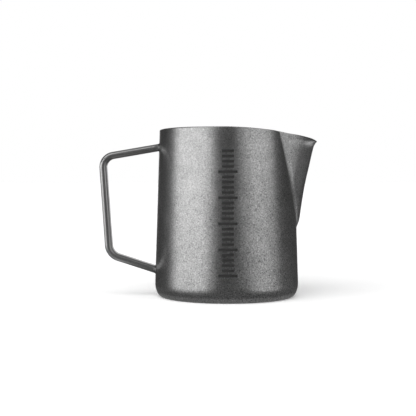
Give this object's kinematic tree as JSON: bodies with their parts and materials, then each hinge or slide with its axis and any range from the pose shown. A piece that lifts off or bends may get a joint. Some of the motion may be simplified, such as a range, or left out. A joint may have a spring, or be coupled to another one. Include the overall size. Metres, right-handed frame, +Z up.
{
  "type": "milk frothing pitcher",
  "caption": "Tapered steel jug with a pressed pouring spout and a bent flat-bar handle welded on, for steaming and pouring milk.",
  "frame": {"origin": "centre of the flat base, on the jug's axis, on the surface it stands on", "axes": "+X from the axis to the pouring spout, so the handle is on -X; +Z up, along the jug's axis; +Y completes a right-handed frame and points away from a viewer who sees the spout on the right"},
  "size_m": [0.1291, 0.0852, 0.0993],
  "materials": {
    "tumbled_steel": "tumbled, fine random scuffs",
    "satin_steel": "satin, drawn along the bar",
    "weld_steel": "dressed weld, satin"
  },
  "bodies": {
    "root": {"body_shell": "tumbled_steel", "handle": "satin_steel", "handle_weld_upper": "weld_steel", "handle_weld_lower": "weld_steel"}
  },
  "joints": []
}
